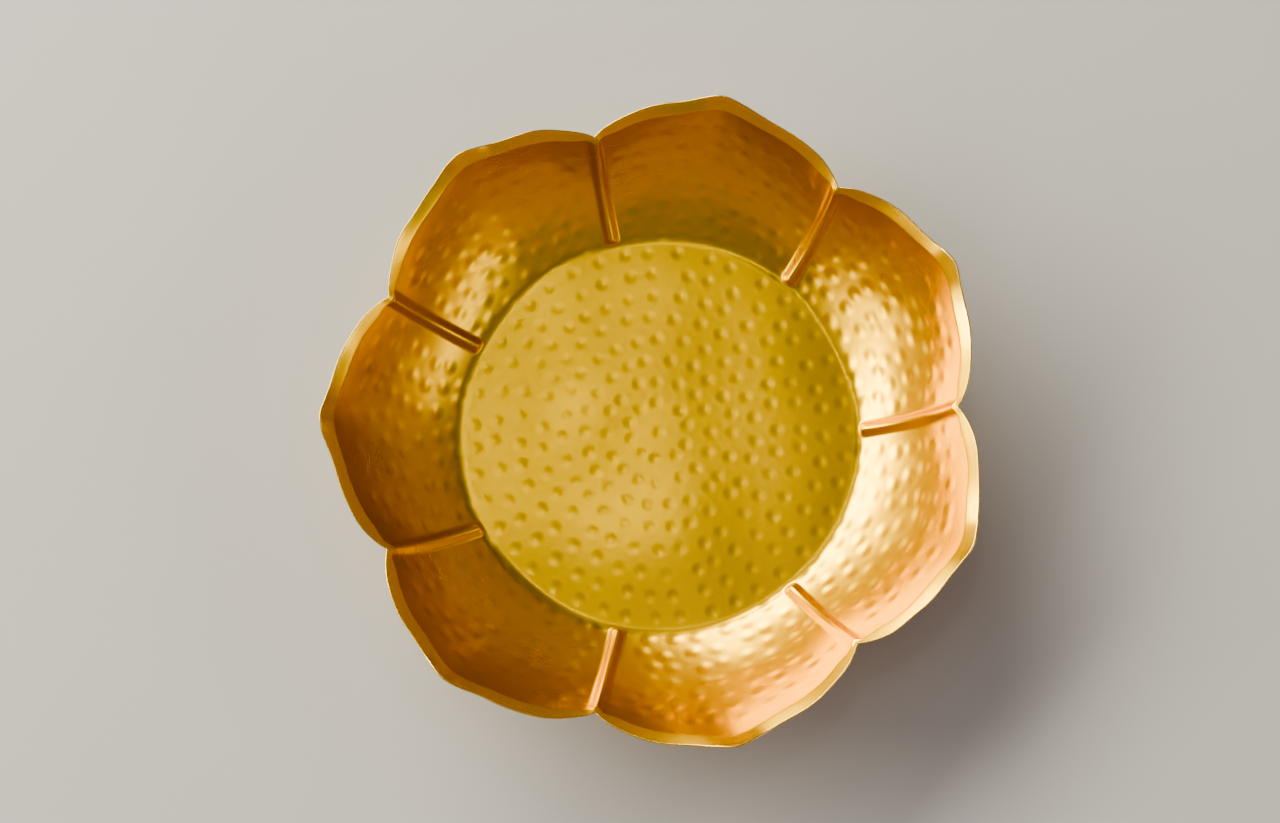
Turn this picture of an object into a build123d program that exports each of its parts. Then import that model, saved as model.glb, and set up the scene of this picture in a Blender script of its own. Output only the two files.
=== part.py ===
"""Hammered brass urli bowl in the shape of a seven-petal lotus.

One thin sheet is pressed into a flat round base and seven petals. A rib is pressed
inwards along the crease between each pair of petals, and the edge of each petal is
turned out into a narrow lip, except at its tip. The bowl stands on a low foot: a strip
of brass rolled into a ring, closed by a brazed butt seam, and held under the base by
eight short fillets of braze.

Millimetres, +Z up. The origin is the centre of the face that the foot stands on, on the
bowl's axis. One petal tip points along -X, and one crease lies along +X.
"""
from build123d import *
import math
import os

# Sheet and base
PETALS = 7
HALF_PETAL = math.pi / PETALS
SHEET = 0.9
BASE_RADIUS = 95.0

# Wall: in each radial plane, an arc from the base edge to the fold line of the lip
BASE_EDGE_SLOPE = math.radians(30)
CREASE_RADIUS = 129.8
CREASE_HEIGHT = 40.6
SHOULDER_OUT = 13.3
SHOULDER_UP = 8.6
SHOULDER_REACH = 0.38

# Lip: the strip beyond the fold line, turned out except at the petal's tip, and narrower
# towards the tip and the creases. The tip itself stands beyond the lip
LIP_WIDTH = 6.0
LIP_SLOPE = math.radians(36)
LIP_BEND_RADIUS = 1.2
LIP_SHARE_AT_CREASE = 0.5
LIP_SHARE_AT_TIP = 0.5
LIP_TAPER_AT_CREASE = 0.22
LIP_TAPER_AT_TIP = 0.36
TIP_LENGTH = 4.4
TIP_REACH = 0.19
LIP_FOLD_AT_TIP = 0.6
LIP_FOLD_STARTS = 0.05
LIP_FOLD_FULL = 0.22

# Rib: pressed inwards along each crease, from a blunt end at the base edge to the rim
RIB_HEIGHT_AT_BASE = 3.0
RIB_HEIGHT_AT_RIM = 0.8
RIB_HALF_WIDTH_AT_BASE = 4.0
RIB_HALF_WIDTH_AT_RIM = 3.8
RIB_END_LENGTH = 3.5
RIB_FLAT_SHARE = 0.35

# Where the sheet is shaped: shares of the wall's arc, shares of the lip's bend and of its
# flat, and shares of half a petal, closer together across the rib and near the tip
WALL_SHARES = [0.0, 0.02, 0.045, 0.08, 0.14, 0.25, 0.4, 0.55, 0.7, 0.85, 0.96]
BEND_SHARES = [0.0, 0.5, 1.0]
FLAT_SHARES = [0.5, 1.0]
PETAL_SHARES = [0.0, 0.05, 0.1, 0.15, 0.2, 0.3, 0.45, 0.6, 0.75, 0.86]
RIB_SHARES = [1.0, 0.8, 0.6, 0.4, 0.2, 0.0]
SPACING_POWER = 0.7

# Foot ring, its seam and its fillets of braze
FOOT_HEIGHT = 10.0
FOOT_TOP_RADIUS = 66.0
FOOT_BOTTOM_RADIUS = 68.5
FOOT_STRIP = 1.6
SEAM_GAP = 0.8
FILLET_COUNT = 8
FILLET_LEG = 2.2
FILLET_LENGTH = 16.0
FILLET_HOLLOW = 0.35

BASE_INSIDE = FOOT_HEIGHT + SHEET


def smooth_step(start, end, value):
    """Rises from 0 at start to 1 at end, level at both."""
    share = min(max((value - start) / (end - start), 0.0), 1.0)
    return share * share * (3 - 2 * share)


def blend(low, high, share):
    return low + (high - low) * share


def lip_width(side):
    """Width of the lip.

    side is the angle from the petal's middle as a share of half a petal: 0 at the tip,
    1 or -1 at the creases.
    """
    near_crease = blend(LIP_SHARE_AT_CREASE, 1.0, smooth_step(0.0, LIP_TAPER_AT_CREASE, 1 - abs(side)))
    near_tip = blend(LIP_SHARE_AT_TIP, 1.0, smooth_step(0.0, LIP_TAPER_AT_TIP, abs(side)))
    return LIP_WIDTH * near_crease * near_tip


def tip_length(side):
    """How far the petal's tip stands beyond its lip."""
    return TIP_LENGTH * math.exp(-((side / TIP_REACH) ** 2))


def lip_fold_line(side):
    """Radius and height of the line where the lip turns out: where it is narrow, further out."""
    shoulder = 1 - math.exp((abs(side) - 1) / SHOULDER_REACH)
    further = LIP_WIDTH - lip_width(side)
    radius = CREASE_RADIUS + SHOULDER_OUT * shoulder + further * math.cos(LIP_SLOPE)
    height = CREASE_HEIGHT + SHOULDER_UP * shoulder + further * math.sin(LIP_SLOPE)
    return radius, height


def rib_height(radius, distance, share, side):
    """How far the rib stands in at a radius, a distance and a share of the way up the wall."""
    from_crease = radius * math.sin(HALF_PETAL * (1 - abs(side)))
    half_width = blend(RIB_HALF_WIDTH_AT_BASE, RIB_HALF_WIDTH_AT_RIM, share)
    across = 1 - smooth_step(RIB_FLAT_SHARE, 1.0, from_crease / half_width)
    height = blend(RIB_HEIGHT_AT_BASE, RIB_HEIGHT_AT_RIM, share)
    return height * across * smooth_step(0.0, RIB_END_LENGTH, distance)


def sheet_line(side):
    """The inside of the sheet in one radial plane, from the base edge out to the rim.

    Each entry holds the radius, the height, the slope and the height of the rib there.
    """
    fold_radius, fold_height = lip_fold_line(side)
    run = fold_radius - BASE_RADIUS
    turn = 2 * (math.atan2(fold_height, run) - BASE_EDGE_SLOPE)
    arc_radius = math.hypot(run, fold_height) / (2 * math.sin(turn / 2))
    line = []
    for share in WALL_SHARES:
        slope = BASE_EDGE_SLOPE + turn * share
        radius = BASE_RADIUS + arc_radius * (math.sin(slope) - math.sin(BASE_EDGE_SLOPE))
        height = arc_radius * (math.cos(BASE_EDGE_SLOPE) - math.cos(slope))
        rib = rib_height(radius, share * turn * arc_radius, share, side)
        line.append((radius, height, slope, rib))

    wall_slope = BASE_EDGE_SLOPE + turn
    rib = rib_height(fold_radius, turn * arc_radius, 1.0, side)
    fold = blend(LIP_FOLD_AT_TIP, 1.0, smooth_step(LIP_FOLD_STARTS, LIP_FOLD_FULL, abs(side)))
    bend = fold * (wall_slope - LIP_SLOPE)
    for share in BEND_SHARES:
        slope = wall_slope - bend * share
        radius = fold_radius + LIP_BEND_RADIUS * (math.sin(wall_slope) - math.sin(slope))
        height = fold_height + LIP_BEND_RADIUS * (math.cos(slope) - math.cos(wall_slope))
        line.append((radius, height, slope, rib))

    flat = lip_width(side) + tip_length(side) - LIP_BEND_RADIUS * bend
    for share in FLAT_SHARES:
        further = radius + share * flat * math.cos(slope)
        higher = height + share * flat * math.sin(slope)
        line.append((further, higher, slope, rib))
    return line


def spacing():
    """One set of spline parameters for every section, so that the sections match."""
    middle = sheet_line(0.0)
    reached = [0.0]
    for here, there in zip(middle, middle[1:]):
        step = math.hypot(there[0] - here[0], there[1] - here[1]) ** SPACING_POWER
        reached.append(reached[-1] + step)
    return [value / reached[-1] for value in reached]


def place(radius, height, side):
    angle = HALF_PETAL * (1 + side)
    return Vector(radius * math.cos(angle), radius * math.sin(angle), BASE_INSIDE + height)


def sheet_section(side, parameters):
    """The sheet's outline in one radial plane: inside, rim edge, outside."""
    inside = []
    outside = []
    for radius, height, slope, rib in sheet_line(side):
        across = -math.sin(slope)
        up = math.cos(slope)
        inside.append(place(radius + rib * across, height + rib * up, side))
        under = rib - SHEET
        outside.append(place(radius + under * across, height + under * up, side))
    outside[0] = place(BASE_RADIUS + SHEET * math.tan(BASE_EDGE_SLOPE / 2), -SHEET, side)
    backwards = [1 - value for value in reversed(parameters)]
    return Wire([
        Edge.make_spline(inside, parameters=parameters),
        Edge.make_line(inside[-1], outside[-1]),
        Edge.make_spline(list(reversed(outside)), parameters=backwards),
    ])


def section_sides():
    """Where a petal's sections are taken, from one crease to the other."""
    middle_radius = (BASE_RADIUS + CREASE_RADIUS) / 2
    rib_side = RIB_HALF_WIDTH_AT_BASE / middle_radius / HALF_PETAL
    half = PETAL_SHARES + [1 - rib_side * share for share in RIB_SHARES]
    return [-side for side in reversed(half[1:])] + half


def level_edge(petal, radius, height):
    """The petal's curved edge along the base, at one height."""
    level = BASE_INSIDE + height
    edges = petal.edges().filter_by(lambda edge: edge.length > radius * HALF_PETAL)
    return edges.sort_by(lambda edge: abs(edge.center().Z - level))[0]


def bowl_shell():
    """Seven petals and the two faces of the flat base, sewn into one closed sheet."""
    parameters = spacing()
    petal = Shell.make_loft([sheet_section(side, parameters) for side in section_sides()])
    petals = [petal.rotate(Axis.Z, 360 / PETALS * index) for index in range(PETALS)]
    inside_edges = [level_edge(one, BASE_RADIUS, 0.0) for one in petals]
    outside_edges = [level_edge(one, BASE_RADIUS, -SHEET) for one in petals]
    faces = [face for one in petals for face in one.faces()]
    faces += [Face(Wire(inside_edges)), Face(Wire(outside_edges))]
    return Solid(Shell(faces))


def foot_strip_section():
    """The strip's section, leaning out towards its standing edge."""
    half = FOOT_STRIP / 2
    return make_face(Polyline([
        (FOOT_TOP_RADIUS - half, 0, FOOT_HEIGHT),
        (FOOT_TOP_RADIUS + half, 0, FOOT_HEIGHT),
        (FOOT_BOTTOM_RADIUS + half, 0, 0),
        (FOOT_BOTTOM_RADIUS - half, 0, 0),
    ], close=True))


def seam_angle():
    return math.degrees(SEAM_GAP / FOOT_BOTTOM_RADIUS)


def foot_ring():
    ring = revolve(foot_strip_section(), Axis.Z, 360 - seam_angle())
    return Rot(Z=seam_angle() / 2) * ring


def seam_braze():
    filling = revolve(foot_strip_section(), Axis.Z, seam_angle())
    return Rot(Z=-seam_angle() / 2) * filling


def foot_braze():
    """Short hollow fillets in the corner inside the ring, under the base."""
    corner = FOOT_TOP_RADIUS - FOOT_STRIP / 2
    lean = (FOOT_BOTTOM_RADIUS - FOOT_TOP_RADIUS) / FOOT_HEIGHT
    on_base = Vector(corner - FILLET_LEG, 0, FOOT_HEIGHT)
    on_ring = Vector(corner + lean * FILLET_LEG, 0, FOOT_HEIGHT - FILLET_LEG)
    in_corner = Vector(corner, 0, FOOT_HEIGHT)
    surface = on_base + (on_ring - on_base) / 2
    surface += (in_corner - surface) * FILLET_HOLLOW
    section = make_face([
        Line(in_corner, on_base),
        ThreePointArc(on_base, surface, on_ring),
        Line(on_ring, in_corner),
    ])
    length = math.degrees(FILLET_LENGTH / corner)
    fillet = revolve(section, Axis.Z, length)
    spacing_angle = 360 / FILLET_COUNT
    turns = [spacing_angle * (index + 0.5) - length / 2 for index in range(FILLET_COUNT)]
    return Compound([Rot(Z=turn) * fillet for turn in turns])


PARTS = {
    "bowl_shell": bowl_shell,
    "foot_ring": foot_ring,
    "foot_braze": foot_braze,
    "seam_braze": seam_braze,
}

os.makedirs("parts", exist_ok=True)
for name, make in PARTS.items():
    export_step(make(), f"parts/{name}.step")
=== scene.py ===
"""Looks of the hammered brass urli bowl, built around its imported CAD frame.

The bowl's sheet is rebuilt as one closed mesh with its hammer dents, its pressed ribs
and its turned-out lips, each a little uneven as hand work is. The foot ring and its
braze get detailed meshes of their own. Metres, +Z up, in the frame of the CAD.
"""
import bpy
import math
import numpy as np
from mathutils import Matrix, Vector


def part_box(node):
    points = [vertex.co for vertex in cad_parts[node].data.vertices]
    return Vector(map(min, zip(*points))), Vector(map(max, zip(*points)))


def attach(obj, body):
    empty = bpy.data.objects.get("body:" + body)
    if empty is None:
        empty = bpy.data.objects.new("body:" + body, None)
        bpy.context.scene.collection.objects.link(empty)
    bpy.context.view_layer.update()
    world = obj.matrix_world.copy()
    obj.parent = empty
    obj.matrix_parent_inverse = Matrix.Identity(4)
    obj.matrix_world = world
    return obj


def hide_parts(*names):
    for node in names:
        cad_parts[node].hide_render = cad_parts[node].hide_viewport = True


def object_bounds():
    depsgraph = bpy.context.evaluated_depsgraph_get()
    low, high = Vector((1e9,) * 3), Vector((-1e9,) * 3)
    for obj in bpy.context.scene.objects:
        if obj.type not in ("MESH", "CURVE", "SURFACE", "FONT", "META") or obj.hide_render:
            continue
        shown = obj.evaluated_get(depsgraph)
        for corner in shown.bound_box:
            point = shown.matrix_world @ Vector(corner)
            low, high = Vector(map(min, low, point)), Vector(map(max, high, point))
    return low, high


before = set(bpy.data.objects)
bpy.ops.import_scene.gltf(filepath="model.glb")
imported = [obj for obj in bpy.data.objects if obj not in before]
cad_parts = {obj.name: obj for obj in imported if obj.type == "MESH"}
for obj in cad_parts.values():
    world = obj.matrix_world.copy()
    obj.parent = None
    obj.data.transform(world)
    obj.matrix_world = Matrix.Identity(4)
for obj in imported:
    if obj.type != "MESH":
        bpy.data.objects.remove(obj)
cad_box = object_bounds()

MM = 0.001
PETALS = 7
PETAL_ANGLE = 2 * math.pi / PETALS
HALF_PETAL = PETAL_ANGLE / 2

# The sheet, as in the CAD, but for a lip a little steeper and more softly bent
SHEET = 0.9 * MM
BASE_RADIUS = 95.0 * MM
BASE_EDGE_SLOPE = math.radians(30)
CREASE_RADIUS = 129.8 * MM
CREASE_HEIGHT = 40.6 * MM
SHOULDER_OUT = 13.3 * MM
SHOULDER_UP = 8.6 * MM
SHOULDER_REACH = 0.38
TIP_LENGTH = 4.4 * MM
TIP_REACH = 0.19
LIP_WIDTH = 6.0 * MM
LIP_SLOPE = math.radians(42)
LIP_BEND_RADIUS = 1.6 * MM
LIP_FLAT_LEAST = 0.4 * MM
LIP_FOLD_AT_TIP = 0.6
LIP_FOLD_START = 0.45
BASE_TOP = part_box("bowl_shell")[0].z + SHEET
BASE_BEND = 2.2 * MM
LIP_SHARE_AT_CREASE = 0.5
LIP_SHARE_AT_TIP = 0.5
LIP_TAPER_AT_CREASE = 0.22
LIP_TAPER_AT_TIP = 0.36

# Ribs
RIB_HEIGHT_AT_BASE = 3.5 * MM
RIB_HEIGHT_AT_RIM = 0.8 * MM
RIB_HEIGHT_FALL = 1.5
RIB_LOSS_ON_LIP = 0.6
RIB_HALF_WIDTH_AT_BASE = 4.3 * MM
RIB_HALF_WIDTH_AT_RIM = 4.0 * MM
RIB_END_LENGTH = 3.2 * MM
RIB_FLAT_SHARE = 0.08

# Handwork: how far, in degrees, each crease and each tip is off its even place at the rim,
# each rib's lower end at the base, and how far from each tip its lip is fully turned out,
# in millimetres, on the clockwise and the anticlockwise side
CREASE_TURNS = [0.6, -0.4, -1.0, 0.9, 0.3, 0.5, 1.2]
TIP_TURNS = [0.4, 0.2, -1.5, 0.0, -0.2, -0.4, 1.4]
RIB_END_TURNS = [-0.4, -2.8, 0.1, -0.6, 2.3, 0.7, 0.3]
LIP_STARTS = [(15, 10.5), (13, 11), (16, 6), (12, 7), (14, 8), (15, 13), (14, 11)]

# Unevenness: the wavelength of each random field, the radius of the circle that it is read
# on where it follows the angle alone, and how far it moves the sheet and the foot
WAVER_LENGTH = 70 * MM
RIPPLE_LENGTH = 24 * MM
WOBBLE_LENGTH = 45 * MM
FLUTTER_LENGTH = 16 * MM
FOLD_CIRCLE = 100 * MM
RIM_CIRCLE = 140 * MM
FOOT_CIRCLE = 70 * MM
FOLD_WAVER = 0.5 * MM
LIP_WOBBLE = math.radians(2.5)
RIM_FLUTTER = 0.2 * MM
WALL_SWELL = 0.10 * MM
BASE_SAG = 0.25 * MM
FOOT_WAVER = 0.15 * MM
SEED = 7

# Hammer dents: rings on the base and rows up the wall. WALL_LENGTH is the wall's length at
# the middle of a petal, and WALL_SPREAD how much of each step up it goes outwards. A scatter
# is of a dent's place along its ring, as a share of the pitch, and across it
DENT_RINGS = 8
FIRST_DENT_RING = 14.0 * MM
DENT_RING_PITCH = 10.6 * MM
DENT_PITCH = 8.5 * MM
DENT_PITCH_GROWTH = 0.05
DENT_RADIUS = 3.5 * MM
DENT_DEPTH = 0.24 * MM
BASE_DENT_SHARE = 0.8
BASE_DENT_SCATTER = (0.09, 0.55 * MM)
BASE_DENT_STRENGTHS = (0.75, 1.15)
WALL_LENGTH = 68 * MM
WALL_SPREAD = 0.62
WALL_DENT_ROWS = 8
FIRST_WALL_DENT_ROW = 3.4 * MM
WALL_DENT_ROW_PITCH = 8.8 * MM
WALL_DENT_SPACING = 11.5 * MM
WALL_DENT_SHARE = 1.1
WALL_DENT_STRETCH = 1.2
WALL_DENT_SCATTER = (0.11, 0.9 * MM)
WALL_DENT_STRENGTHS = (0.7, 1.15)
WALL_DENT_TOP = 0.93
DENT_TO_RIB = 1.5 * MM
COLLAR_SHARE = 0.10
COLLAR_AT = 1.15
COLLAR_WIDTH = 0.22
DENT_REACH = 1.6

# Foot ring, its seam and its fillets of braze, as in the CAD, but with rounded edges and
# their tops let a little way into the uneven sheet
FOOT_HEIGHT = 10.0 * MM
FOOT_TOP_RADIUS = 66.0 * MM
FOOT_BOTTOM_RADIUS = 68.5 * MM
FOOT_STRIP = 1.6 * MM
FOOT_ROUNDING = 0.35 * MM
FOOT_BITE = 0.4 * MM
SEAM_GAP = 0.8 * MM
SEAM_LAP = 1.5
SEAM_SWELL = 0.12 * MM
SEAM_SINK = 0.02 * MM
SEAM_LUMP = 0.04 * MM
SEAM_LUMP_FINENESS = 6
FILLET_COUNT = 8
FILLET_LEG = 2.2 * MM
FILLET_LENGTH = 16.0 * MM
FILLET_HOLLOW = 0.35
FILLET_LUMP = 0.1
FILLET_LUMP_FINENESS = 3

# Mesh spacing. The travels of the lip's rings are explained in sheet_points
BASE_STEP = 1.2 * MM
UNDER_STEP = 1.7 * MM
INSIDE_COLUMNS = 90
OUTSIDE_COLUMNS = 60
INSIDE_WALL_ROWS = 60
OUTSIDE_WALL_ROWS = 44
CROWDING = 0.38
BEND_TRAVELS = [1.33, 1.67, 2.0]
INSIDE_LIP_TRAVELS = [2.35, 2.65, 2.93, 3.0]
OUTSIDE_LIP_TRAVELS = [2.5, 2.93, 3.0]
RIM_EDGE_START = 2.85
EDGE_BULGE = 0.2 * SHEET
FOOT_COLUMNS = 320
FOOT_TURN_POINTS = 5
FOOT_UPRIGHT_POINTS = 7
SEAM_COLUMNS = 9
FILLET_COLUMNS = 33
FILLET_CURVE_POINTS = 8
SHARP_ANGLE = math.radians(40)

# The floor reaches this far each way from the middle
FLOOR_REACH = 12.0

# The softboxes: heading from +X towards +Y and rise above the floor, in degrees, distance,
# width and height in metres, power in watts, colour
LIGHTS = {
    "key_softbox": (141, 33.5, 3.0, (4.6, 1.0), 145, (1.0, 0.95, 0.72)),
    "low_softbox": (135, 11, 3.0, (5.0, 0.9), 13, (1.0, 0.88, 0.62)),
    "side_softbox": (196, 25, 3.0, (1.2, 0.8), 9, (1.0, 0.93, 0.78)),
    "overhead_softbox": (150, 80, 2.2, (3.0, 3.0), 4.2, (1.0, 0.98, 1.0)),
    "top_window": (103, 80.8, 2.0, (0.25, 1.2), 0.9, (1.0, 0.95, 0.6)),
    "top_lamp": (118, 77.9, 2.0, (0.12, 0.12), 0.65, (1.0, 0.95, 0.6)),
    "front_card": (272, 43, 3.0, (2.6, 1.1), 1.3, (1.0, 0.93, 0.7)),
    "right_card": (-18, 50, 3.0, (3.2, 1.2), 1.0, (1.0, 0.93, 0.7)),
    "fill_card": (-20, 27, 3.0, (1.9, 0.45), 8.5, (0.85, 0.85, 0.75)),
}

# The studio's surround: a low warm band, brightest towards one side, and dimmer above it.
# The steps are sines of the rise above the floor, each with the band's share there
BAND_STEPS = [(0.02, 0.6), (0.2, 1.0), (0.41, 1.0), (0.58, 0.0)]
BAND_HEADING = math.radians(300)
BAND_MEAN = 0.52
BAND_SWING = 0.1
LOW_BAND = (0.72, 0.46, 0.42, 1)
HIGH_SURROUND = (0.20, 0.19, 0.18, 1)

# The camera looks down at the bowl, from a little towards -Y
CAMERA_TILT = math.radians(10.85)
CAMERA_LEAN = math.radians(-1.3)
CAMERA_HEADING = math.radians(-0.9)
CAMERA_DISTANCE = 761 * MM
CAMERA_ACROSS = -8.9 * MM
CAMERA_UP = 9.7 * MM
SENSOR_WIDTH = 36.0
LENS = 45.0


def smooth_step(start, end, values):
    share = np.clip((values - start) / (end - start), 0.0, 1.0)
    return share * share * (3 - 2 * share)


def blend(low, high, share):
    return low + (high - low) * share


class Unevenness:
    """A smooth random field: a sum of waves in random directions."""

    def __init__(self, wavelength, seed, waves=14):
        rng = np.random.default_rng(seed)
        directions = rng.normal(size=(waves, 3))
        directions /= np.linalg.norm(directions, axis=1)[:, None]
        lengths = wavelength * rng.uniform(0.7, 1.6, waves)
        self.vectors = directions * (2 * math.pi / lengths)[:, None]
        self.phases = rng.uniform(0, 2 * math.pi, waves)
        self.scale = math.sqrt(2.0 / waves)

    def __call__(self, points):
        return np.sin(points @ self.vectors.T + self.phases).sum(axis=1) * self.scale


def petal_side(angle):
    """Which petal an even angle is in, and where: 0 at its tip, -1 and 1 at its creases."""
    share = np.mod(angle, 2 * math.pi) / PETAL_ANGLE
    petal = np.minimum(np.floor(share), PETALS - 1).astype(int)
    return petal, 2 * (share - petal) - 1


def hand_angle(angle, travel):
    """The angle of the handmade bowl at an even angle: ribs and tips are a little off."""
    at_rim = np.empty(2 * PETALS)
    at_rim[0::2] = CREASE_TURNS
    at_rim[1::2] = TIP_TURNS
    places = np.arange(2 * PETALS) * HALF_PETAL
    even = np.mod(angle, 2 * math.pi)
    rim = np.interp(even, places, at_rim, period=2 * math.pi)
    base = np.interp(even, places[0::2], RIB_END_TURNS, period=2 * math.pi)
    upward = np.clip(travel, 0, 1)
    turn = blend(base, rim, upward) * np.clip(1 + travel, 0, 1)
    return angle + np.radians(turn)


def lip_fold(petal, side, radius):
    """How much of the lip's fold is made: all of it, except near the petal's tip."""
    from_tip = np.abs(side) * HALF_PETAL * radius
    starts = np.array(LIP_STARTS) * MM
    full = np.where(side < 0, starts[petal, 0], starts[petal, 1])
    return blend(LIP_FOLD_AT_TIP, 1.0, smooth_step(LIP_FOLD_START * full, full, from_tip))


def lip_width(side):
    """Width of the lip: it narrows towards the creases and the tip."""
    from_tip = np.abs(side)
    near_crease = blend(LIP_SHARE_AT_CREASE, 1.0, smooth_step(0, LIP_TAPER_AT_CREASE, 1 - from_tip))
    near_tip = blend(LIP_SHARE_AT_TIP, 1.0, smooth_step(0, LIP_TAPER_AT_TIP, from_tip))
    return LIP_WIDTH * near_crease * near_tip


waver = Unevenness(WAVER_LENGTH, SEED)
ripple = Unevenness(RIPPLE_LENGTH, SEED + 1)
wobble = Unevenness(WOBBLE_LENGTH, SEED + 2)
flutter = Unevenness(FLUTTER_LENGTH, SEED + 3)


def sheet_points(angle, travel):
    """Points on the inside of the sheet, before hammering.

    travel is -1 at the middle of the base, 0 at its edge, 1 at the fold line of the lip,
    2 where the lip's bend ends and 3 at the rim.
    """
    petal, side = petal_side(angle)
    shoulder = 1 - np.exp((np.abs(side) - 1) / SHOULDER_REACH)
    fold_radius = CREASE_RADIUS + SHOULDER_OUT * shoulder
    fold_height = CREASE_HEIGHT + SHOULDER_UP * shoulder
    turned = hand_angle(angle, travel)
    around = np.stack([np.cos(turned), np.sin(turned), np.zeros_like(turned)], axis=1)
    fold_height = fold_height + FOLD_WAVER * waver(FOLD_CIRCLE * around)
    narrowed = LIP_WIDTH - lip_width(side)
    fold_radius = fold_radius + narrowed * math.cos(LIP_SLOPE)
    fold_height = fold_height + narrowed * math.sin(LIP_SLOPE)

    run = fold_radius - BASE_RADIUS
    turn = 2 * (np.arctan2(fold_height, run) - BASE_EDGE_SLOPE)
    arc_radius = np.hypot(run, fold_height) / (2 * np.sin(turn / 2))
    upward = np.clip(travel, 0, 1)
    slope = BASE_EDGE_SLOPE + turn * upward
    radius = BASE_RADIUS + arc_radius * (np.sin(slope) - math.sin(BASE_EDGE_SLOPE))
    height = arc_radius * (math.cos(BASE_EDGE_SLOPE) - np.cos(slope))
    radius = radius + BASE_RADIUS * np.clip(travel, -1, 0)

    lip_slope = LIP_SLOPE + LIP_WOBBLE * wobble(RIM_CIRCLE * around)
    bend = lip_fold(petal, side, fold_radius) * (slope - lip_slope)
    bent = slope - bend * np.clip(travel - 1, 0, 1)
    radius = radius + LIP_BEND_RADIUS * (np.sin(slope) - np.sin(bent))
    height = height + LIP_BEND_RADIUS * (np.cos(bent) - np.cos(slope))
    tip = TIP_LENGTH * np.exp(-((side / TIP_REACH) ** 2))
    width = lip_width(side) + tip + RIM_FLUTTER * flutter(RIM_CIRCLE * around)
    flat = np.maximum(width - LIP_BEND_RADIUS * bend, LIP_FLAT_LEAST)
    along = flat * np.clip(travel - 2, 0, 1)
    radius = radius + along * np.cos(bent)
    height = height + along * np.sin(bent)

    from_crease = radius * np.sin(HALF_PETAL * (1 - np.abs(side)))
    half_width = blend(RIB_HALF_WIDTH_AT_BASE, RIB_HALF_WIDTH_AT_RIM, upward)
    across = 1 - smooth_step(RIB_FLAT_SHARE, 1.0, from_crease / half_width)
    rib = blend(RIB_HEIGHT_AT_BASE, RIB_HEIGHT_AT_RIM, upward ** RIB_HEIGHT_FALL) * across
    rib = rib * smooth_step(0, RIB_END_LENGTH, upward * turn * arc_radius)
    rib = rib * (1 - RIB_LOSS_ON_LIP * np.clip(travel - 1, 0, 1))
    radius = radius - rib * np.sin(bent)
    height = height + rib * np.cos(bent)

    into_bend = np.maximum(BASE_BEND - np.abs(radius - BASE_RADIUS), 0)
    height = height + math.tan(BASE_EDGE_SLOPE) * into_bend ** 2 / (4 * BASE_BEND)
    points = around * radius[:, None]
    points[:, 2] = BASE_TOP + height
    swell = WALL_SWELL * ripple(points) * smooth_step(0, 0.25, travel)
    sag = BASE_SAG * waver(points) * smooth_step(1, 0.7, np.abs(travel)) * (travel < 0)
    points[:, :2] -= around[:, :2] * (swell * np.sin(bent))[:, None]
    points[:, 2] += swell * np.cos(bent) + sag
    return points


def sheet_normals(angle, travel):
    """Unit normals of the sheet, pointing into the bowl. The base's are taken as upright."""
    small = 0.004
    base_end = -0.02
    along = sheet_points(angle, travel + small) - sheet_points(angle, travel - small)
    around = sheet_points(angle + small, travel) - sheet_points(angle - small, travel)
    normals = np.cross(around, -along)
    normals[travel < base_end] = (0, 0, 1)
    length = np.linalg.norm(normals, axis=1)[:, None]
    return normals / np.maximum(length, 1e-12)


def base_dents(rng):
    """The dents of the base: one in the middle and rings round it."""
    dents = [(0.0, -1.0, BASE_DENT_SHARE, 1.0)]
    for ring in range(DENT_RINGS):
        radius = FIRST_DENT_RING + DENT_RING_PITCH * ring
        count = round(2 * math.pi * radius / (DENT_PITCH + DENT_PITCH_GROWTH * radius))
        start = rng.uniform(0, 2 * math.pi)
        for index in range(count):
            angle = start + (index + rng.normal(0, BASE_DENT_SCATTER[0])) * 2 * math.pi / count
            place = (radius + rng.normal(0, BASE_DENT_SCATTER[1])) / BASE_RADIUS - 1
            dents.append((angle, place, BASE_DENT_SHARE * rng.uniform(*BASE_DENT_STRENGTHS), 1.0))
    return dents


def wall_dents(rng):
    """The dents of the wall: rows round it, clear of the ribs and of the lip."""
    dents = []
    for row in range(WALL_DENT_ROWS):
        distance = FIRST_WALL_DENT_ROW + row * WALL_DENT_ROW_PITCH
        radius = BASE_RADIUS + WALL_SPREAD * distance
        count = round(2 * math.pi * radius / WALL_DENT_SPACING)
        start = rng.uniform(0, 2 * math.pi)
        for index in range(count):
            angle = start + (index + rng.normal(0, WALL_DENT_SCATTER[0])) * 2 * math.pi / count
            up = distance / WALL_LENGTH + rng.normal(0, WALL_DENT_SCATTER[1]) / WALL_LENGTH
            side = petal_side(np.array([angle]))[1][0]
            from_crease = (1 - abs(side)) * HALF_PETAL * radius
            if from_crease < RIB_HALF_WIDTH_AT_BASE + DENT_TO_RIB or up > WALL_DENT_TOP:
                continue
            strength = WALL_DENT_SHARE * rng.uniform(*WALL_DENT_STRENGTHS)
            dents.append((angle, up, strength, WALL_DENT_STRETCH))
    return dents


def dent_places():
    """Angle, travel, strength and stretch round the bowl of each hammer dent."""
    rng = np.random.default_rng(SEED + 10)
    return np.array(base_dents(rng) + wall_dents(rng))


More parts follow.
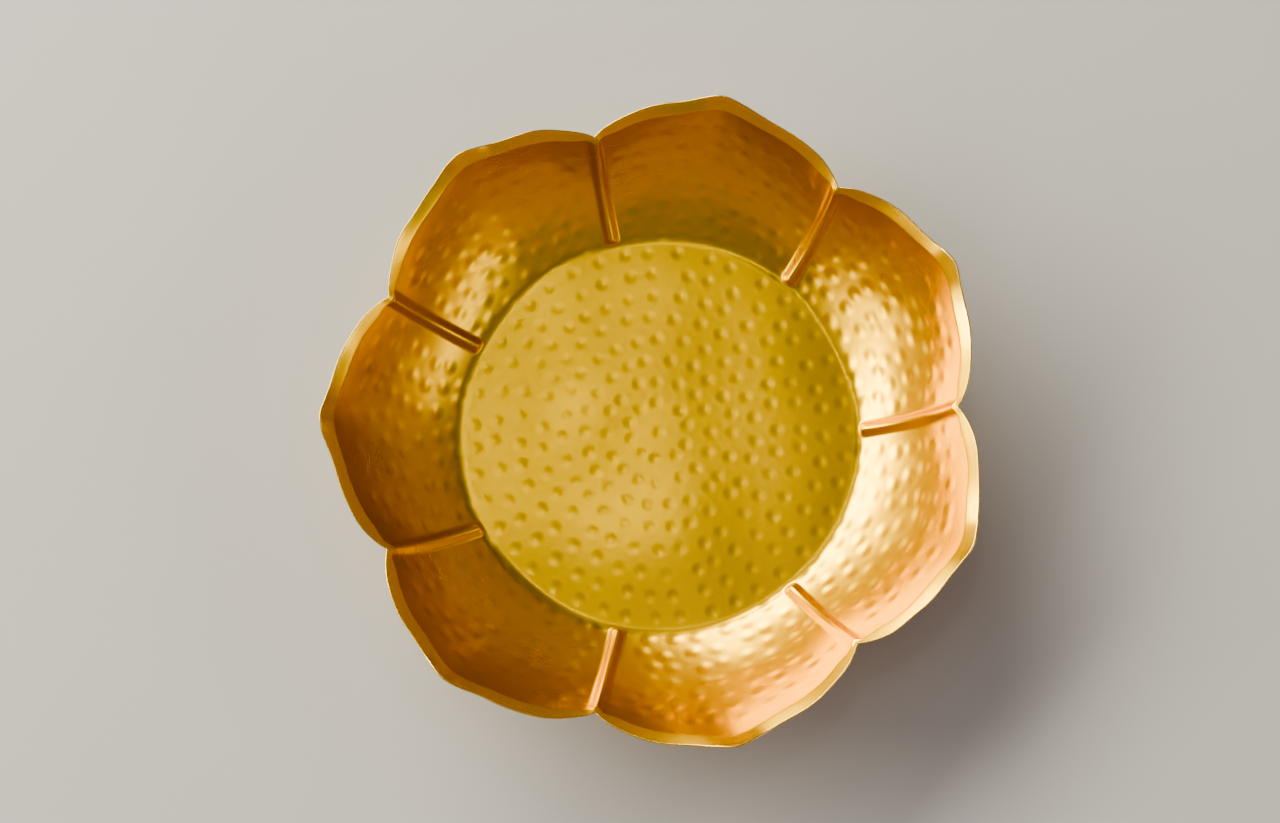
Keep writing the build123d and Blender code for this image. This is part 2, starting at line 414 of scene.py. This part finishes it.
def hammer(points, dents):
    """How far each point is pushed out of the bowl by the dents and their raised collars."""
    centres = sheet_points(dents[:, 0], dents[:, 1])
    pushed = np.zeros(len(points))
    reach = DENT_REACH * DENT_RADIUS
    for centre, strength, stretch in zip(centres, dents[:, 2], dents[:, 3]):
        near = np.flatnonzero(np.abs(points[:, 0] - centre[0]) < reach * stretch)
        size = DENT_RADIUS * blend(0.85, 1.0, strength)
        offset = points[near] - centre
        around = np.array([-centre[1], centre[0], 0]) / max(math.hypot(centre[0], centre[1]), MM)
        offset -= np.outer(offset @ around, around) * (1 - 1 / stretch)
        away = np.linalg.norm(offset, axis=1) / size
        bowl = np.where(away < 1, (1 - away ** 2) ** 2, 0.0)
        collar = COLLAR_SHARE * np.exp(-(((away - COLLAR_AT) / COLLAR_WIDTH) ** 2))
        pushed[near] += DENT_DEPTH * strength * (bowl - collar)
    return pushed


def crowded_angles(columns):
    """Even angles of one ring of points, closer together at the creases, where the ribs are."""
    share = np.arange(columns // 2) / (columns // 2)
    outward = HALF_PETAL * ((1 - CROWDING) * share + CROWDING * share ** 2)
    inward = HALF_PETAL * ((1 - CROWDING) * (1 - share) + CROWDING * (1 - share) ** 2)
    one = np.concatenate([outward, PETAL_ANGLE - inward])
    return np.concatenate([one + petal * PETAL_ANGLE for petal in range(PETALS)])


def stitch(first, second):
    """Triangles between two rings of points that may differ in number."""
    first_angles, first_ids = first
    second_angles, second_ids = second
    count_a, count_b = len(first_ids), len(second_ids)
    turn = 2 * math.pi
    triangles = []
    a = b = 0
    while a < count_a or b < count_b:
        next_a = first_angles[(a + 1) % count_a] + turn * ((a + 1) // count_a)
        next_b = second_angles[(b + 1) % count_b] + turn * ((b + 1) // count_b)
        here_a, here_b = first_ids[a % count_a], second_ids[b % count_b]
        if b >= count_b or (a < count_a and next_a <= next_b):
            triangles.append((here_a, here_b, first_ids[(a + 1) % count_a]))
            a += 1
        else:
            triangles.append((here_a, here_b, second_ids[(b + 1) % count_b]))
            b += 1
    return triangles


def ring_faces(rings):
    """Faces between each ring and the next, and fans at a ring of a single point."""
    faces = []
    for first, second in zip(rings, rings[1:]):
        ids_a, ids_b = first[1], second[1]
        if len(ids_a) == 1:
            faces += [(ids_a[0], ids_b[i - 1], ids_b[i]) for i in range(len(ids_b))]
        elif len(ids_b) == 1:
            faces += [(ids_b[0], ids_a[i], ids_a[i - 1]) for i in range(len(ids_a))]
        elif len(ids_a) == len(ids_b):
            faces += [(ids_a[i - 1], ids_b[i - 1], ids_b[i], ids_a[i]) for i in range(len(ids_a))]
        else:
            faces += stitch(first, second)
    return faces


def base_rings(step):
    """Angle and travel of rings of points over the flat base, from its middle outwards."""
    rings = [(np.zeros(1), np.full(1, -1.0))]
    count = round(BASE_RADIUS / step)
    for index in range(1, count):
        radius = BASE_RADIUS * index / count
        columns = max(6, round(2 * math.pi * radius / step))
        angles = np.arange(columns) * 2 * math.pi / columns
        rings.append((angles, np.full(columns, radius / BASE_RADIUS - 1)))
    return rings


def wall_rings(columns, rows, lip_travels):
    """Angle and travel of rings of points from the base's edge to the rim."""
    angles = crowded_angles(columns)
    travels = np.concatenate([np.linspace(0, 1, rows + 1), BEND_TRAVELS, lip_travels])
    return [(angles, np.full(len(angles), travel)) for travel in travels]


def new_object(name, points, faces):
    mesh = bpy.data.meshes.new(name)
    mesh.from_pydata(points.tolist(), [], faces)
    mesh.validate()
    mesh.shade_smooth()
    thing = bpy.data.objects.new(name, mesh)
    bpy.context.scene.collection.objects.link(thing)
    return thing


def point_values(thing, name, values):
    layer = thing.data.attributes.new(name, "FLOAT", "POINT")
    layer.data.foreach_set("value", np.asarray(values, np.float32))


def hammered_shell():
    """The whole sheet as one closed mesh: inside, rim edge and outside."""
    inside = base_rings(BASE_STEP) + wall_rings(INSIDE_COLUMNS, INSIDE_WALL_ROWS, INSIDE_LIP_TRAVELS)
    outside = base_rings(UNDER_STEP) + wall_rings(OUTSIDE_COLUMNS, OUTSIDE_WALL_ROWS, OUTSIDE_LIP_TRAVELS)
    layers = [(ring, 0.0) for ring in inside]
    layers += [(inside[-1], 0.5)]
    layers += [(ring, 1.0) for ring in reversed(outside)]
    rings = []
    total = 0
    for (angles, _), _ in layers:
        rings.append((angles, list(range(total, total + len(angles)))))
        total += len(angles)
    angle = np.concatenate([ring[0] for ring, _ in layers])
    travel = np.concatenate([ring[1] for ring, _ in layers])
    depth = np.concatenate([np.full(len(ring[0]), share) for ring, share in layers])
    points = sheet_points(angle, travel)
    normals = sheet_normals(angle, travel)
    pushed = hammer(points, dent_places())
    at_edge = depth == 0.5
    outward = points - sheet_points(angle, travel - 0.1)
    outward /= np.maximum(np.linalg.norm(outward, axis=1)[:, None], 1e-9)
    points = points - normals * (pushed + depth * SHEET)[:, None]
    points[at_edge] += outward[at_edge] * EDGE_BULGE
    shell = new_object("hammered_shell", points, ring_faces(rings))
    point_values(shell, "dent", pushed / DENT_DEPTH)
    point_values(shell, "travel", travel)
    point_values(shell, "rim_edge", smooth_step(RIM_EDGE_START, 3.0, travel))
    return shell


def sweep(name, angles, outline_at):
    """A closed mesh swept round the bowl's axis: one outline of radii and heights at each angle."""
    points = []
    for angle in angles:
        radii, heights = outline_at(angle)
        columns = [radii * math.cos(angle), radii * math.sin(angle), heights]
        points.append(np.stack(columns, axis=1))
    count = len(points[0])
    last = count * (len(angles) - 1)
    faces = [list(range(count)), list(range(last + count - 1, last - 1, -1))]
    for column in range(len(angles) - 1):
        here = column * count
        there = here + count
        faces += [(here + k - 1, there + k - 1, there + k, here + k) for k in range(1, count)]
        faces.append((here + count - 1, there + count - 1, there, here))
    swept = new_object(name, np.concatenate(points), faces)
    swept.data.set_sharp_from_angle(angle=SHARP_ANGLE)
    return swept


def foot_top(angle):
    """Height of the foot's top at an angle: a little way into the uneven sheet."""
    above = sheet_points(np.array([angle]), np.array([FOOT_TOP_RADIUS / BASE_RADIUS - 1]))
    return above[0, 2] - SHEET + FOOT_BITE


def strip_outline(angle, swell):
    """The foot's strip in section: down its inner face, round its standing edge and up again."""
    turns = np.linspace(0, math.pi / 2, FOOT_TURN_POINTS)[1:]
    upright = np.linspace(foot_top(angle), FOOT_ROUNDING, FOOT_UPRIGHT_POINTS)
    heights = np.concatenate([upright, FOOT_ROUNDING * (1 - np.sin(turns))])
    inward = np.concatenate([np.zeros_like(upright), FOOT_ROUNDING * (1 - np.cos(turns))])
    middle = blend(FOOT_BOTTOM_RADIUS, FOOT_TOP_RADIUS, heights / FOOT_HEIGHT)
    half = FOOT_STRIP / 2 + swell - inward
    radii = np.concatenate([middle - half, (middle + half)[::-1]])
    return radii, np.concatenate([heights, heights[::-1]])


def foot_strip():
    """The rolled strip, hardly out of round."""
    def outline_at(angle):
        around = np.array([[math.cos(angle), math.sin(angle), 0.0]])
        radii, heights = strip_outline(angle, 0.0)
        lower = 1 - heights / FOOT_HEIGHT
        return radii + FOOT_WAVER * waver(FOOT_CIRCLE * around) * lower, heights

    half_gap = SEAM_GAP / FOOT_BOTTOM_RADIUS / 2
    return sweep("foot_strip", np.linspace(half_gap, 2 * math.pi - half_gap, FOOT_COLUMNS), outline_at)


def foot_seam():
    """Braze in the strip's butt seam, lapping its ends and standing a little proud of them."""
    half_turn = SEAM_LAP * SEAM_GAP / FOOT_BOTTOM_RADIUS / 2

    def outline_at(angle):
        crown = 1 - (angle / half_turn) ** 2
        radii, heights = strip_outline(angle, SEAM_SWELL * crown - SEAM_SINK)
        along = np.full_like(radii, angle * FOOT_BOTTOM_RADIUS)
        lumps = flutter(SEAM_LUMP_FINENESS * np.stack([radii, along, heights], axis=1))
        return radii + SEAM_LUMP * lumps * crown, heights

    return sweep("foot_seam", np.linspace(-half_turn, half_turn, SEAM_COLUMNS), outline_at)


def foot_fillet(index):
    """One short hollow fillet of braze in the corner inside the ring, its ends run out."""
    corner = FOOT_TOP_RADIUS - FOOT_STRIP / 2
    lean = (FOOT_BOTTOM_RADIUS - FOOT_TOP_RADIUS) / FOOT_HEIGHT
    half_turn = FILLET_LENGTH / corner / 2
    middle = 2 * math.pi / FILLET_COUNT * (index + 0.5)
    shares = np.linspace(0, 1, FILLET_CURVE_POINTS)

    def outline_at(angle):
        share = (angle - middle) / half_turn
        place = np.array([[math.cos(angle), math.sin(angle), 0.3 * index]]) * corner
        lump = flutter(FILLET_LUMP_FINENESS * place)[0]
        leg = FILLET_LEG * math.sqrt(1.001 - share ** 4) * (1 + FILLET_LUMP * lump)
        top = foot_top(angle)
        on_base = np.array([corner - leg, top])
        on_ring = np.array([corner + lean * leg, FOOT_HEIGHT - leg])
        in_corner = np.array([corner, top])
        pulled = blend((on_base + on_ring) / 2, in_corner, 2 * FILLET_HOLLOW)
        curve = [(1 - t) ** 2 * on_base + 2 * t * (1 - t) * pulled + t ** 2 * on_ring for t in shares]
        outline = np.array([in_corner] + curve)
        return outline[:, 0], outline[:, 1]

    angles = middle + half_turn * np.sin(np.linspace(-math.pi / 2, math.pi / 2, FILLET_COLUMNS))
    return sweep(f"foot_fillet_{index + 1}", angles, outline_at)


shell = hammered_shell()
strip = foot_strip()
seam = foot_seam()
fillets = [foot_fillet(index) for index in range(FILLET_COUNT)]


def node(tree, kind, inputs=None, **settings):
    """A shader node with its settings, and its inputs linked or given values."""
    made = tree.nodes.new(kind)
    for key, value in settings.items():
        setattr(made, key, value)
    for key, value in (inputs or {}).items():
        if isinstance(value, bpy.types.NodeSocket):
            tree.links.new(value, made.inputs[key])
        else:
            made.inputs[key].default_value = value
    return made


def maths(tree, operation, first, second=0.0, third=0.0):
    return node(tree, "ShaderNodeMath", {0: first, 1: second, 2: third}, operation=operation).outputs[0]


def noise(tree, vector, scale, detail=3.0, roughness=0.5):
    inputs = {"Vector": vector, "Scale": scale, "Detail": detail, "Roughness": roughness}
    return node(tree, "ShaderNodeTexNoise", inputs).outputs["Fac"]


def spread(tree, value, low, high):
    """A value between 0 and 1 spread to run from low to high."""
    inputs = {"Value": value, "From Min": 0.3, "From Max": 0.7, "To Min": low, "To Max": high}
    return node(tree, "ShaderNodeMapRange", inputs).outputs["Result"]


def mix_colour(tree, factor, first, second):
    mix = node(tree, "ShaderNodeMix", data_type="RGBA")
    for key, value in ((0, factor), (6, first), (7, second)):
        if isinstance(value, bpy.types.NodeSocket):
            tree.links.new(value, mix.inputs[key])
        else:
            mix.inputs[key].default_value = value
    return mix.outputs[2]


def climb(tree, value, start, end):
    """0 below start, 1 above end and even between them."""
    inputs = {"Value": value, "From Min": start, "From Max": end}
    return node(tree, "ShaderNodeMapRange", inputs).outputs["Result"]


def start_material(name):
    material = bpy.data.materials.new(name)
    material.use_nodes = True
    tree = material.node_tree
    shader = tree.nodes["Principled BSDF"]
    place = node(tree, "ShaderNodeTexCoord").outputs["Object"]
    return material, tree, shader, place


def around_axis(tree, place, across, along):
    """A vector for streaks that run round the bowl: across is how fine, along how short."""
    parts = node(tree, "ShaderNodeSeparateXYZ", {0: place}).outputs
    level = node(tree, "ShaderNodeCombineXYZ", {"X": parts["X"], "Y": parts["Y"]}).outputs[0]
    radius = node(tree, "ShaderNodeVectorMath", {0: level}, operation="LENGTH").outputs["Value"]
    heading = node(tree, "ShaderNodeVectorMath", {0: level}, operation="NORMALIZE").outputs[0]
    out = maths(tree, "MULTIPLY", maths(tree, "ADD", radius, parts["Z"]), across)
    lift = node(tree, "ShaderNodeCombineXYZ", {"Z": out}).outputs[0]
    inputs = {0: heading, 1: (along, along, along), 2: lift}
    return node(tree, "ShaderNodeVectorMath", inputs, operation="MULTIPLY_ADD").outputs[0]


def hammered_brass():
    """Satin brass: polishing streaks round the bowl, soft patches, upper walls painted darker and redder
    for the glow the walls bounce onto each other, painted shade in the dents and a painted highlight
    along the rim edge.
    """
    deep = (0.84, 0.53, 0.045, 1)
    bright = (0.90, 0.57, 0.06, 1)
    mottled = (0.79, 0.48, 0.05, 1)
    # painted shade: a darker tone for the shade that falls in the hammer dents
    painted_dent_shade = (0.76, 0.45, 0.045, 1)
    # painted bounce light: a darker, redder tone for the orange glow the walls cast onto each other
    painted_wall_bounce = (0.74, 0.41, 0.035, 1)
    # painted highlight: a pale, bright tone for the light the rim's cut edge catches
    painted_edge_highlight = (0.98, 0.78, 0.32, 1)
    material, tree, shader, place = start_material("hammered_brass")
    patches = noise(tree, place, 26, 4, 0.6)
    mottle = noise(tree, place, 240, 3)
    grain = noise(tree, place, 2400, 2)
    streaks = noise(tree, around_axis(tree, place, 900, 5), 1.0, 4, 0.65)
    dent = node(tree, "ShaderNodeAttribute", attribute_name="dent").outputs["Fac"]
    edge = node(tree, "ShaderNodeAttribute", attribute_name="rim_edge").outputs["Fac"]
    travel = node(tree, "ShaderNodeAttribute", attribute_name="travel").outputs["Fac"]
    wall = climb(tree, travel, 0.0, 0.2)
    below_lip = maths(tree, "LESS_THAN", travel, 1.2)
    # where the painted wall glow goes: from partway up the wall to just below the lip
    bounce_tint_share = maths(tree, "MULTIPLY", climb(tree, travel, 0.4, 1.0), below_lip)

    tone = mix_colour(tree, spread(tree, patches, 0, 1), deep, bright)
    tone = mix_colour(tree, spread(tree, mottle, 0, 0.35), tone, mottled)
    # painted shade: each dent is darkened a little, by its depth, for the shade in its hollow
    tone = mix_colour(tree, maths(tree, "MULTIPLY", dent, 0.12), tone, painted_dent_shade)
    # painted bounce light: the upper walls tinted darker and redder
    tone = mix_colour(tree, maths(tree, "MULTIPLY", bounce_tint_share, 0.7), tone, painted_wall_bounce)
    # painted highlight: the rim's cut edge is coloured paler and brighter
    tone = mix_colour(tree, maths(tree, "MULTIPLY", edge, 0.6), tone, painted_edge_highlight)
    tree.links.new(tone, shader.inputs["Base Color"])
    shader.inputs["Metallic"].default_value = 1.0
    shader.inputs["Coat Weight"].default_value = 0.12
    shader.inputs["Coat Roughness"].default_value = 0.17
    shader.inputs["Coat IOR"].default_value = 1.55

    rough = maths(tree, "ADD", spread(tree, patches, 0.29, 0.32), spread(tree, streaks, -0.01, 0.02))
    rough = maths(tree, "SUBTRACT", rough, maths(tree, "MULTIPLY", wall, 0.02))
    rough = maths(tree, "SUBTRACT", rough, maths(tree, "MULTIPLY", edge, 0.06))
    tree.links.new(rough, shader.inputs["Roughness"])

    relief = maths(tree, "MULTIPLY_ADD", grain, 0.35, maths(tree, "MULTIPLY", streaks, 0.06))
    relief = maths(tree, "MULTIPLY_ADD", mottle, 0.8, relief)
    bump = node(tree, "ShaderNodeBump", {"Strength": 0.4, "Distance": 0.05 * MM, "Height": relief})
    tree.links.new(bump.outputs[0], shader.inputs["Normal"])
    return material


def foot_brass():
    """Rolled strip: fine lines round the ring, a little tarnish."""
    tarnished = (0.70, 0.44, 0.085, 1)
    clean = (0.86, 0.58, 0.12, 1)
    material, tree, shader, place = start_material("foot_brass")
    patches = noise(tree, place, 60, 4, 0.6)
    lines = noise(tree, around_axis(tree, place, 2600, 3), 1.0, 3, 0.6)
    tone = mix_colour(tree, spread(tree, patches, 0, 1), tarnished, clean)
    tree.links.new(tone, shader.inputs["Base Color"])
    shader.inputs["Metallic"].default_value = 1.0
    rough = maths(tree, "ADD", spread(tree, patches, 0.36, 0.27), spread(tree, lines, -0.04, 0.05))
    tree.links.new(rough, shader.inputs["Roughness"])
    bump = node(tree, "ShaderNodeBump", {"Strength": 0.6, "Distance": 0.04 * MM, "Height": lines})
    tree.links.new(bump.outputs[0], shader.inputs["Normal"])
    return material


def braze_alloy():
    """Braze as it set: paler, dull, a little lumpy, with stains of dark flux."""
    dull = (0.46, 0.33, 0.15, 1)
    fresh = (0.80, 0.66, 0.38, 1)
    flux = (0.22, 0.14, 0.06, 1)
    material, tree, shader, place = start_material("braze_alloy")
    lumps = noise(tree, place, 420, 3, 0.55)
    stain = noise(tree, place, 150, 3, 0.6)
    tone = mix_colour(tree, spread(tree, lumps, 0, 1), dull, fresh)
    tone = mix_colour(tree, spread(tree, stain, 0, 0.5), tone, flux)
    tree.links.new(tone, shader.inputs["Base Color"])
    shader.inputs["Metallic"].default_value = 1.0
    tree.links.new(spread(tree, stain, 0.38, 0.6), shader.inputs["Roughness"])
    bump = node(tree, "ShaderNodeBump", {"Strength": 0.8, "Distance": 0.3 * MM, "Height": lumps})
    tree.links.new(bump.outputs[0], shader.inputs["Normal"])
    return material


def pale_floor():
    material, tree, shader, place = start_material("pale_floor")
    tone = mix_colour(tree, noise(tree, place, 6, 3), (0.55, 0.56, 0.61, 1), (0.59, 0.60, 0.65, 1))
    tree.links.new(tone, shader.inputs["Base Color"])
    shader.inputs["Roughness"].default_value = 0.9
    return material


def dress(thing, material):
    thing.data.materials.clear()
    thing.data.materials.append(material)


def fit(thing, material, cad_node):
    """Puts a detailed piece in the place of its CAD node."""
    dress(thing, material)
    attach(thing, "root")
    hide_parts(cad_node)


braze = braze_alloy()
fit(shell, hammered_brass(), "bowl_shell")
fit(strip, foot_brass(), "foot_ring")
fit(seam, braze, "seam_braze")
for fillet in fillets:
    fit(fillet, braze, "foot_braze")


def make_floor():
    level = cad_box[0][2]
    corners = FLOOR_REACH * np.array([(-1, -1, 0), (1, -1, 0), (1, 1, 0), (-1, 1, 0)])
    corners[:, 2] = level
    floor = new_object("floor", corners, [(0, 1, 2, 3)])
    dress(floor, pale_floor())


def aim(thing, place, target):
    thing.location = place
    thing.rotation_euler = (Vector(target) - Vector(place)).to_track_quat("-Z", "Y").to_euler()


def soft_light(name, heading, rise, distance, size, power, colour):
    """A rectangular softbox that faces the middle of the base."""
    lamp = bpy.data.lights.new(name, "AREA")
    lamp.shape = "RECTANGLE"
    lamp.size, lamp.size_y = size
    lamp.energy = power
    lamp.color = colour
    light = bpy.data.objects.new(name, lamp)
    bpy.context.scene.collection.objects.link(light)
    level = math.cos(math.radians(rise))
    direction = Vector((
        level * math.cos(math.radians(heading)),
        level * math.sin(math.radians(heading)),
        math.sin(math.radians(rise)),
    ))
    target = Vector((0, 0, BASE_TOP))
    aim(light, target + direction * distance, target)


def studio_surround():
    """The world: the surround's colour by the rise of a direction, its strength by the heading."""
    world = bpy.data.worlds.new("studio")
    world.use_nodes = True
    tree = world.node_tree
    direction = node(tree, "ShaderNodeTexCoord").outputs["Generated"]
    rise = node(tree, "ShaderNodeSeparateXYZ", {0: direction}).outputs["Z"]
    ramp = node(tree, "ShaderNodeValToRGB", {"Fac": rise})
    ramp.color_ramp.interpolation = "EASE"
    while len(ramp.color_ramp.elements) < len(BAND_STEPS):
        ramp.color_ramp.elements.new(0.5)
    for element, (place, amount) in zip(ramp.color_ramp.elements, BAND_STEPS):
        element.position = place
        element.color = (amount, amount, amount, 1)
    colour = mix_colour(tree, ramp.outputs["Color"], HIGH_SURROUND, LOW_BAND)
    tree.links.new(colour, tree.nodes["Background"].inputs["Color"])
    side = (math.cos(BAND_HEADING), math.sin(BAND_HEADING), 0)
    facing = node(tree, "ShaderNodeVectorMath", {0: direction, 1: side}, operation="DOT_PRODUCT")
    facing = facing.outputs["Value"]
    strength = maths(tree, "MULTIPLY_ADD", facing, BAND_SWING, BAND_MEAN)
    tree.links.new(strength, tree.nodes["Background"].inputs["Strength"])
    bpy.context.scene.world = world


def make_lights():
    for name, settings in LIGHTS.items():
        soft_light(name, *settings)
    studio_surround()


def make_camera():
    turn = Matrix.Rotation(CAMERA_HEADING, 3, "Z")
    right = turn @ Vector((
        math.cos(CAMERA_LEAN),
        -math.sin(CAMERA_TILT) * math.sin(CAMERA_LEAN),
        math.cos(CAMERA_TILT) * math.sin(CAMERA_LEAN),
    ))
    up = turn @ Vector((0, math.cos(CAMERA_TILT), math.sin(CAMERA_TILT)))
    back = right.cross(up)
    place = Vector((0, 0, BASE_TOP)) + back * CAMERA_DISTANCE + right * CAMERA_ACROSS + up * CAMERA_UP
    data = bpy.data.cameras.new("camera")
    data.sensor_width = SENSOR_WIDTH
    data.lens = LENS
    camera = bpy.data.objects.new("camera", data)
    bpy.context.scene.collection.objects.link(camera)
    rotation = Matrix((right, up, back)).transposed().to_4x4()
    camera.matrix_world = Matrix.Translation(place) @ rotation
    bpy.context.scene.camera = camera


make_floor()
make_lights()
make_camera()
bpy.context.scene.view_settings.view_transform = "AgX"
bpy.context.scene.view_settings.look = "AgX - High Contrast"
